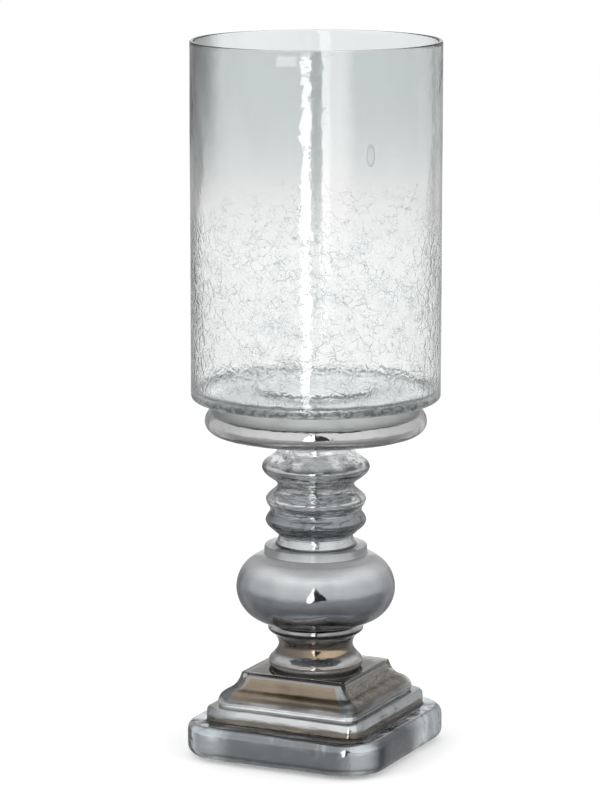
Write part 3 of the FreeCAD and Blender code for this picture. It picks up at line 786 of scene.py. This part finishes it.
class LANTERN_OT_stepped_foot(bpy.types.Operator):
    """Stepped square foot of smoke glass with its silvering inside"""
    bl_idname = "lantern.stepped_foot"
    bl_label = "Stepped foot"

    def execute(self, context):
        sizes = context.scene.lantern_pedestal
        base = node_base("stepped_base")
        skin = [(half, corner, height + base) for half, corner, height in foot_levels(0.0, 0.0)]
        foot = squared_piece("stepped_foot_glass", skin)
        ripple(foot, sizes.ripple, 0.045)
        bpy.ops.mesh.primitive_cylinder_add(
            vertices=64, radius=sizes.pour_recess, depth=6 * MM, location=(0, 0, base * MM))
        recess = context.object
        choose(foot)
        bpy.ops.object.modifier_add(type="BOOLEAN")
        foot.modifiers[-1].object = recess
        foot.modifiers[-1].operation = "DIFFERENCE"
        bpy.ops.object.modifier_apply(modifier=foot.modifiers[-1].name)
        bpy.data.objects.remove(recess)
        finish_glass(foot, "stepped_base")
        film = [(half, corner, height + base) for half, corner, height
                in foot_levels(sizes.step_glass / MM, sizes.corner_glass / MM)]
        lining = squared_piece("stepped_foot_silvering", film)
        ripple(lining, sizes.ripple, 0.03)
        finish_glass(lining, material="foot silvering")
        return {"FINISHED"}


class LANTERN_OT_neck(bpy.types.Operator):
    """Waisted neck above the stepped foot, with its browned silvering"""
    bl_idname = "lantern.neck"
    bl_label = "Lower neck"

    def execute(self, context):
        sizes = context.scene.lantern_pedestal
        outline = flow(NECK_OUTLINE, 3)
        silvered_turning("lower_neck", outline, sunk(outline, sizes.glass_over_silver / MM),
                         sizes.ripple * 0.6, 0.03, "neck silvering")
        return {"FINISHED"}


class LANTERN_OT_bulb(bpy.types.Operator):
    """Round bulb with its collar, and the silvering inside"""
    bl_idname = "lantern.bulb"
    bl_label = "Bulb"

    def execute(self, context):
        sizes = context.scene.lantern_pedestal
        middle, radius = (36.2, 28.2), 27.8
        outline = [(39.2, 0.0), (40.0, 0.35), *arc(middle, radius, -82, 78.5, 40),
                   (41.3, 56.6), (41.3, 61.6), (40.9, 62.5), (40.0, 62.9)]
        film = [(34.0, 2.0), *arc(middle, radius - sizes.glass_over_silver / MM, -75, 66, 36),
                (34.2, 54.5), (33.6, 57.0), (33.4, 62.0)]
        silvered_turning("bulb", outline, film, sizes.ripple, 0.05, "silvering")
        return {"FINISHED"}


class LANTERN_OT_stem(bpy.types.Operator):
    """Stem with three rings, and its silvering"""
    bl_idname = "lantern.stem"
    bl_label = "Ringed stem"

    def execute(self, context):
        sizes = context.scene.lantern_pedestal
        outline = flow(STEM_OUTLINE, 3)
        silvered_turning("ringed_stem", outline, sunk(outline, sizes.glass_over_silver / MM),
                         sizes.ripple * 0.6, 0.03, "stem silvering")
        return {"FINISHED"}


class LANTERN_OT_dish(bpy.types.Operator):
    """Fat round-edged dish under the vessel, with its bright silvering"""
    bl_idname = "lantern.dish"
    bl_label = "Support dish"

    def execute(self, context):
        sizes = context.scene.lantern_pedestal
        crown = node_top("support_dish") - node_base("support_dish")
        edge = [*arc((79.8, 9.0), 9.0, -90, 0, 12),
                *flow([(88.8, 9.0), (88.3, 12.2), (87.0, 15.2), (84.8, 18.0), (81.0, 20.8),
                       (76.0, 23.6), (70.0, 25.7), (64.0, 26.9), (58.0, 27.15)], 3)[1:]]
        boss = [(46.6, 27.15), (46.0, 27.7), (46.0, crown - 0.7), (45.4, crown - 0.1)]
        film = [spot for spot in sunk(edge, sizes.dish_glass / MM) if spot[1] < 21.0 or spot[0] > 80.0]
        crown_film = [(75.8, 23.9), (70.0, 25.85), (64.0, 27.05), (58.0, 27.28), (46.75, 27.28),
                      (46.15, 27.8), (46.15, crown - 0.6), (45.5, crown - 0.02)]
        silvered_turning("support_dish", [*edge, *boss], [*film, *crown_film],
                         sizes.ripple * 0.6, 0.05, "dish silvering", "dish glass")
        return {"FINISHED"}


# turn from the front corner's side in degrees, height in the vessel, half width and half height
BUBBLES = [
    (25.0, 204.0, 3.4, 9.0),
    (3.6, 241.0, 1.0, 1.2),
    (-31.0, 226.0, 0.5, 0.8),
    (52.0, 178.0, 0.6, 1.0),
]
BUBBLE_HALF_DEPTH = 0.14
FRONT_CORNER_TURN = 25.3 - 90.0


def add_bubble(vessel, turn, level, wide, tall, radius):
    """Trap a flat bubble in the middle of the wall."""
    clear_selection()
    around_axis = math.radians(turn + FRONT_CORNER_TURN)
    spot = Vector((radius * math.cos(around_axis), radius * math.sin(around_axis), level)) * MM
    bpy.ops.mesh.primitive_uv_sphere_add(
        segments=32, ring_count=16, radius=1.0, location=spot, rotation=(0, 0, around_axis),
        scale=(BUBBLE_HALF_DEPTH * MM, wide * MM, tall * MM))
    bubble = bpy.context.object
    bpy.ops.object.transform_apply(location=True, rotation=True, scale=True)
    bpy.ops.object.mode_set(mode="EDIT")
    bpy.ops.mesh.select_all(action="SELECT")
    bpy.ops.mesh.flip_normals()
    bpy.ops.object.mode_set(mode="OBJECT")
    choose(vessel)
    bubble.select_set(True)
    bpy.ops.object.join()


class LANTERN_OT_vessel(bpy.types.Operator):
    """Open glass vessel, smoked at the rim and crackled below, with its trapped bubbles"""
    bl_idname = "lantern.vessel"
    bl_label = "Hurricane vessel"

    def execute(self, context):
        pedestal = context.scene.lantern_pedestal
        sizes = context.scene.lantern_vessel
        low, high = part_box("hurricane_cylinder")
        base = low.z / MM
        height = (high.z - low.z) / MM
        radius = (high.x - low.x) / 2 / MM - 0.35
        wall = sizes.wall / MM
        floor = sizes.floor / MM
        side = [(radius, 3.6 + (height - 8.0) * step / 60) for step in range(1, 61)]
        inside = [(radius - wall, level) for _, level in reversed(side) if level > floor + 4.2]
        outline = [
            (0.0, 4.0), (44.4, 4.0), (46.4, 3.4), (47.2, 2.2), (48.2, 0.8), (50.0, 0.0),
            (94.0, 0.0), *arc((radius - 3.6, 3.6), 3.6, -70, 0, 6), *side,
            *arc((radius - 1.3, height - 1.5), 1.3, 0, 90, 4),
            *arc((radius - wall + 1.3, height - 1.5), 1.3, 90, 180, 4),
            *inside,
            *arc((radius - wall - 4.0, floor + 4.0), -4.0, 180, 90, 6),
            (60.0, floor), (51.0, floor), (49.4, floor + 0.5), (48.3, floor + 1.6),
            (47.2, floor + 2.9), (45.6, floor + 3.5), (43.0, floor + 3.6), (0.0, floor + 3.6),
        ]
        vessel = turned_piece("crackle_cylinder", lifted(outline, base), pedestal.turned_steps + 32)
        ripple(vessel, sizes.ripple, 0.07)
        for turn, level, wide, tall in BUBBLES:
            add_bubble(vessel, turn, base + level, wide, tall, radius - wall / 2)
        finish_piece(vessel, "hurricane", "ombre_crackle_glass",
                     vessel_material(context.scene.lantern_colours, sizes), "hurricane_cylinder")
        return {"FINISHED"}


# name, nodes, cloud's scale and detail, two colours, roughness from and to, strength of the bump
SMALL_FINISHES = [
    ("cured clear bond", ["neck_bond", "bulb_bond", "stem_bond", "dish_bond"], (160.0, 3.0),
     (0.62, 0.64, 0.65), (0.74, 0.76, 0.76), (0.25, 0.25), 0.0),
    ("stopper rubber", ["silvering_stopper"], (300.0, 4.0),
     (0.035, 0.035, 0.037), (0.06, 0.06, 0.062), (0.55, 0.75), 0.3),
    ("clear bumper", ["bumper_feet"], (220.0, 3.0),
     (0.72, 0.74, 0.74), (0.82, 0.84, 0.84), (0.3, 0.45), 0.2),
]


class LANTERN_OT_small_parts(bpy.types.Operator):
    """Finish of the bonds, the stopper and the bumper feet"""
    bl_idname = "lantern.small_parts"
    bl_label = "Bonds, stopper and feet"

    def execute(self, context):
        for name, nodes, cloudy, first, second, rough, strength in SMALL_FINISHES:
            material, shader, coords = new_material(name)
            cloud = noise(coords, *cloudy)
            feed(shader, {"Base Color": blend(cloud, first, second),
                          "Roughness": stretch(cloud, 0.3, 0.7, *rough)})
            if strength > 0.0:
                add_bump(shader, cloud, strength, 0.0003)
            for solid in filter(None, map(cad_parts.get, nodes)):
                if not solid.data.materials:
                    solid.data.materials.append(material)
                for index in range(len(solid.material_slots)):
                    solid.material_slots[index].material = material
        return {"FINISHED"}


class LANTERN_OT_silverings(bpy.types.Operator):
    """Silver and bronze films shared by the pedestal's linings"""
    bl_idname = "lantern.silverings"
    bl_label = "Silvering films"

    def execute(self, context):
        colours = context.scene.lantern_colours
        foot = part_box("stepped_base")[0].z
        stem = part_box("ringed_stem")[0].z
        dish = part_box("support_dish")[0].z
        low, high = (corner.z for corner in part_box("lower_neck"))
        bulb, shoulder = (corner.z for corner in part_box("bulb"))
        shoulder = shoulder - 0.010
        silver = list(colours.silver)
        # painted highlight: the pale tone of the bands that stand in for light
        painted_highlight = [0.95, 0.95, 0.95]
        pedestal_glass_material("pedestal smoke glass", colours.pedestal_glass, 0.25)
        pedestal_glass_material("dish glass", [0.4 * c + 0.6 for c in colours.pedestal_glass], 0.15)
        # bands are given as low, high, soft edge, tone and amount, many of them painted light or shade;
        # satin ends in a roughness
        # bulb: a painted highlight on the shoulder, painted shade darkening the lower half and the foot,
        # a painted glow under the shoulder and painted shade along its outlines
        silvering_material(
            "silvering", silver,
            [(shoulder - 0.010, shoulder + 0.020, 0.005, painted_highlight, 0.95),
             (bulb + 0.008, bulb + 0.0335, 0.006, [0.38, 0.39, 0.42], 0.95),
             (bulb + 0.0335, bulb + 0.0420, 0.006, [0.58, 0.59, 0.59], 0.8),
             (bulb - 0.002, bulb + 0.0085, 0.002, [0.20, 0.20, 0.21], 0.85)],
            painted_glow=(shoulder - 0.012, shoulder + 0.0005, 0.005, 0.17),
            satin=[(shoulder - 0.010, shoulder + 0.020, 0.008, 0.45)], darker=0.4, wavy=0.22)
        # stem: painted highlights on the foot bead, the middle ring and the top ring's cone, painted
        # shade on the lower ring, a bronze band, a painted glow on the middle ring and the worn top ring,
        # and painted shade along its outlines
        silvering_material(
            "stem silvering", silver,
            [(stem - 0.002, stem + 0.008, 0.002, painted_highlight, 0.5),
             (stem + 0.013, stem + 0.028, 0.003, [0.28, 0.29, 0.30], 0.75),
             (stem + 0.034, stem + 0.046, 0.002, painted_highlight, 0.95),
             (stem + 0.046, stem + 0.052, 0.002, colours.bronze, 0.30),
             (stem + 0.064, stem + 0.080, 0.002, painted_highlight, 0.9)],
            painted_glow=(stem + 0.032, stem + 0.041, 0.003, 0.07),
            wear_and_glow=(stem + 0.066, stem + 0.079, 0.002), veins=(stem + 0.010, stem + 0.056),
            darker=0.22, wavy=0.7)
        # dish: a pale painted underside, painted shade at its lower edge and a painted glow on the slope
        # of its rim
        silvering_material(
            "dish silvering", list(colours.dish_silver),
            [(dish - 0.002, dish + 0.0013, 0.0002, painted_highlight, 0.9),
             (dish + 0.0016, dish + 0.0042, 0.0006, [0.2, 0.2, 0.2], 0.9)],
            painted_glow=(dish + 0.0160, dish + 0.0240, 0.001, 0.05),
            satin=[(dish - 0.001, dish + 0.0013, 0.0002, 0.6),
                   (dish + 0.0155, dish + 0.030, 0.0015, 0.35)])
        # neck: browned bands, a pale band at the top, a painted glow at the foot bead and a glint, a
        # painted reflection
        silvering_material(
            "neck silvering", silver,
            [(low + 0.0095, high - 0.0145, 0.002, [0.12, 0.085, 0.058], 1.0),
             (high - 0.0150, high - 0.0090, 0.001, [0.13, 0.10, 0.08], 0.9),
             (high - 0.0090, high + 0.006, 0.0012, [0.60, 0.60, 0.60], 0.95),
             (low - 0.001, low + 0.0060, 0.001, [0.42, 0.33, 0.28], 0.9)],
            painted_glow=(low - 0.002, low + 0.0045, 0.001, 0.07),
            glint=(low + 0.0148, 0.0044, 0.024, [0.64, 0.47, 0.31]))
        # foot: painted highlights on the step's top and the lip, a bronze band low on the step as a
        # painted brown reflection, a darker band at the plateau and a painted glow over the lip
        silvering_material(
            "foot silvering", list(colours.foot_silver),
            [(foot + 0.0330, foot + 0.0378, 0.0006, painted_highlight, 0.85),
             (foot + 0.0378, foot + 0.0440, 0.0006, painted_highlight, 0.9),
             (foot + 0.0262, foot + 0.0322, 0.001, colours.bronze, 0.9),
             (foot + 0.0610, foot + 0.0700, 0.0006, [0.30, 0.28, 0.26], 0.85)],
            painted_glow=(foot + 0.0392, foot + 0.0442, 0.0012, 0.26),
            foot=((foot + 0.0258, shade(colours.foot_silver, 0.66)),
                  (foot + 0.0444, foot + 0.0604, 0.0042, shade(colours.bronze, 1.3),
                   shade(colours.dish_silver, 0.60))),
            satin=[(foot + 0.0365, foot + 0.0438, 0.001, 0.24),
                   (foot + 0.0438, foot + 0.0575, 0.001, 0.30)])
        return {"FINISHED"}


# name, turn from the camera, height, distance, width, tall, power
LAMPS = [
    ("left_lamp", -48.0, 1.70, 2.6, 1.6, 1.6, 16.0),
    ("right_lamp", 55.0, 1.60, 2.6, 1.6, 1.6, 14.0),
]
# levels of the surroundings
PLAIN_LEVEL = 0.88
FRONT_LEVEL = 0.94
SIDE_LEVEL = 0.72
TOP_LEVEL = 1.0
LOW_FRONT = 0.58
UNDER_LEVEL = 0.26
TABLE_LEVEL = 0.56
FLOOR_GLOW = 0.30
# their borders, in degrees from the camera's side or from the level
BACK_EDGE = (168.0, 173.0)
FRONT_EDGE = (35.0, 105.0)
TOP_EDGE = (40.0, 70.0)
LOW_EDGE = (0.0, -13.8)
LOW_SIDES = (105.0, 135.0)
UNDER_EDGE = (-18.0, -48.0)
UNDER_SIDES = (120.0, 150.0)
TABLE_EDGE = (-54.0, -66.0)
FLAG_EDGE = 9.0
# borders and levels of the dark flags at the back
LEFT_FLAG = (139.0, 0.42)
RIGHT_FLAG = (152.0, 0.46)
OPENING = {"middle": (-2.0, -4.6), "foot": -9.0, "peak": 48.0, "half": 13.0, "shade": 1.7,
           "stand": (-11.5, -4.2, 0.3), "upright": 8.4, "bright": (3.0, 9.0), "dark": 0.05}
DEGREES = 57.2958


class LANTERN_OT_studio(bpy.types.Operator):
    """Pale floor, soft lamps, surroundings and the camera"""
    bl_idname = "lantern.studio"
    bl_label = "Studio"

    def execute(self, context):
        studio = context.scene.lantern_studio
        clear_selection()
        bpy.ops.mesh.primitive_plane_add(size=studio.floor_size, location=(0, 0, -0.0004))
        floor = context.object
        floor.name = "studio_floor"
        floor.data.materials.append(floor_material(studio))
        surroundings(studio)
        for lamp in LAMPS:
            add_lamp(studio, *lamp)
        add_camera(studio)
        context.scene.view_settings.view_transform = "Standard"
        return {"FINISHED"}


def around(studio, turn, distance, height):
    """A place round the lantern, turned from the camera's side towards the picture's right."""
    heading = studio.camera_turn + math.radians(turn) - math.pi / 2
    return Vector((distance * math.cos(heading), distance * math.sin(heading), height))


def add_lamp(studio, name, turn, height, distance, width, tall, power):
    """A soft lamp that looks at the middle of the lantern."""
    clear_selection()
    spot = around(studio, turn, distance, height)
    aim = Vector((0, 0, 0.32)) - spot
    bpy.ops.object.light_add(type="AREA", location=spot,
                             rotation=aim.to_track_quat("-Z", "Y").to_euler())
    lamp = bpy.context.object
    lamp.name = name
    lamp.data.shape = "RECTANGLE"
    lamp.data.size = width
    lamp.data.size_y = tall
    lamp.data.energy = power
    lamp.visible_camera = False
    lamp.visible_glossy = False
    lamp.visible_transmission = False


def floor_material(studio):
    """Pale floor that reads as white and keeps a soft shadow."""
    material = bpy.data.materials.new("studio floor")
    tree, output = bare_tree(material, "ShaderNodeOutputMaterial")
    path = place(tree, "ShaderNodeLightPath").outputs
    matt = place(tree, "ShaderNodeBsdfDiffuse", {"Color": (*studio.floor_colour, 1.0)})
    seen = greater(Value(path["Is Camera Ray"]), Value(path["Is Transmission Ray"]))
    glow = made("ShaderNodeEmission", {"Strength": seen * FLOOR_GLOW})
    both = made("ShaderNodeAddShader", {0: Value(matt.outputs[0]), 1: glow})
    clear = place(tree, "ShaderNodeBsdfTransparent")
    mirrored = Value(path["Glossy Depth"]) > 0.5
    cast = made("ShaderNodeMixShader", {0: mirrored, 1: both, 2: Value(clear.outputs[0])})
    feed(output, {0: cast})
    return material


def surroundings(studio):
    """White backdrop, dim sides and a soft front with a tapering opening, round the lantern."""
    world = bpy.data.worlds.new("studio surroundings")
    bpy.context.scene.world = world
    tree, output = bare_tree(world, "ShaderNodeOutputWorld")
    background = place(tree, "ShaderNodeBackground", {"Color": (*WHITE, 1.0)})
    tree.links.new(background.outputs[0], output.inputs[0])
    path = place(tree, "ShaderNodeLightPath").outputs
    coords = Value(place(tree, "ShaderNodeTexCoord").outputs["Generated"])
    x, y, z = parts(made("ShaderNodeVectorRotate", {"Vector": coords, "Angle": -studio.camera_turn},
                         rotation_type="Z_AXIS"))
    turn = maths("ARCTAN2", x, y * -1.0) * DEGREES
    rise = maths("ARCSINE", z) * DEGREES
    aside = abs(turn)
    level = stretch(aside, *FRONT_EDGE, FRONT_LEVEL, SIDE_LEVEL)
    leftwards = turn < 0.0
    for mask, (edge, depth) in ((leftwards, LEFT_FLAG), (1.0 - leftwards, RIGHT_FLAG)):
        level = fade(mask * stretch(aside, edge - FLAG_EDGE, edge + FLAG_EDGE), level, depth)
    level = fade(stretch(aside, *BACK_EDGE), level, 1.0)
    level = fade(stretch(rise, *TOP_EDGE), level, TOP_LEVEL)
    dim = stretch(rise, *LOW_EDGE) * stretch(aside, *LOW_SIDES, 1.0, 0.0)
    level = level * fade(dim, 1.0, LOW_FRONT)
    under = stretch(rise, *UNDER_EDGE, smooth=False) * stretch(aside, *UNDER_SIDES, 1.0, 0.3)
    level = fade(under, level, UNDER_LEVEL)
    level = fade(stretch(rise, *TABLE_EDGE), level, TABLE_LEVEL)
    # the opening: a tapering bright left part and a dark right one, on a short stand
    direct = Value(path["Transmission Depth"]) < 0.5
    upright = band(rise, *OPENING["stand"])
    offset = turn - fade(upright, *OPENING["middle"])
    reach = stretch(rise, OPENING["foot"], OPENING["peak"], OPENING["half"], 0.0, smooth=False)
    wider = fade(upright, reach * OPENING["shade"], OPENING["upright"])
    reach = fade(upright, reach, OPENING["upright"])
    standing = greater(upright, rise > OPENING["foot"])
    left = (offset < 0.0) * (offset + reach > 0.0) * standing
    right = (offset > 0.0) * (offset - wider < 0.0) * standing
    level = fade(left, level, fade(upright * direct, *OPENING["bright"]))
    level = fade(right, level, OPENING["dark"])
    seen = greater(Value(path["Is Glossy Ray"]), Value(path["Is Transmission Ray"]))
    strength = fade(Value(path["Is Camera Ray"]), fade(seen, PLAIN_LEVEL, level), 1.0)
    feed(background, {"Strength": strength})


def add_camera(studio):
    """The camera in front of the lantern."""
    clear_selection()
    spot = around(studio, 0.0, studio.camera_distance, studio.camera_height)
    heading = studio.camera_turn + studio.camera_aside
    bpy.ops.object.camera_add(location=spot, rotation=(math.pi / 2 - studio.camera_dip, 0, heading))
    camera = bpy.context.object
    camera.name = "studio_camera"
    camera.data.lens = studio.lens
    camera.data.sensor_width = 36.0
    bpy.context.scene.camera = camera


class LANTERN_PT_panel(bpy.types.Panel):
    """Buttons that dress the lantern"""
    bl_idname = "LANTERN_PT_panel"
    bl_label = "Hurricane lantern"
    bl_space_type = "VIEW_3D"
    bl_region_type = "UI"
    bl_category = "Lantern"

    def draw(self, context):
        for operator in OPERATORS:
            self.layout.operator(operator.bl_idname)


GROUPS = {
    "lantern_pedestal": LanternPedestalSizes,
    "lantern_vessel": LanternVesselSizes,
    "lantern_colours": LanternFinishColours,
    "lantern_studio": LanternStudioSettings,
}
OPERATORS = [
    LANTERN_OT_silverings,
    LANTERN_OT_stepped_foot,
    LANTERN_OT_neck,
    LANTERN_OT_bulb,
    LANTERN_OT_stem,
    LANTERN_OT_dish,
    LANTERN_OT_vessel,
    LANTERN_OT_small_parts,
    LANTERN_OT_studio,
]


def register():
    """Register the classes and hang the settings on the scene."""
    for name, kind in GROUPS.items():
        bpy.utils.register_class(kind)
        setattr(bpy.types.Scene, name, PointerProperty(type=kind))
    for kind in (*OPERATORS, LANTERN_PT_panel):
        bpy.utils.register_class(kind)


def unregister():
    """Take the settings and the classes away again."""
    for kind in (LANTERN_PT_panel, *reversed(OPERATORS)):
        bpy.utils.unregister_class(kind)
    for name, kind in reversed(GROUPS.items()):
        delattr(bpy.types.Scene, name)
        bpy.utils.unregister_class(kind)


def main():
    """Dress the lantern, piece by piece."""
    register()
    bpy.ops.lantern.silverings()
    bpy.ops.lantern.stepped_foot()
    bpy.ops.lantern.neck()
    bpy.ops.lantern.bulb()
    bpy.ops.lantern.stem()
    bpy.ops.lantern.dish()
    bpy.ops.lantern.vessel()
    bpy.ops.lantern.small_parts()
    bpy.ops.lantern.studio()
    bpy.context.view_layer.update()


if __name__ == "__main__":
    main()
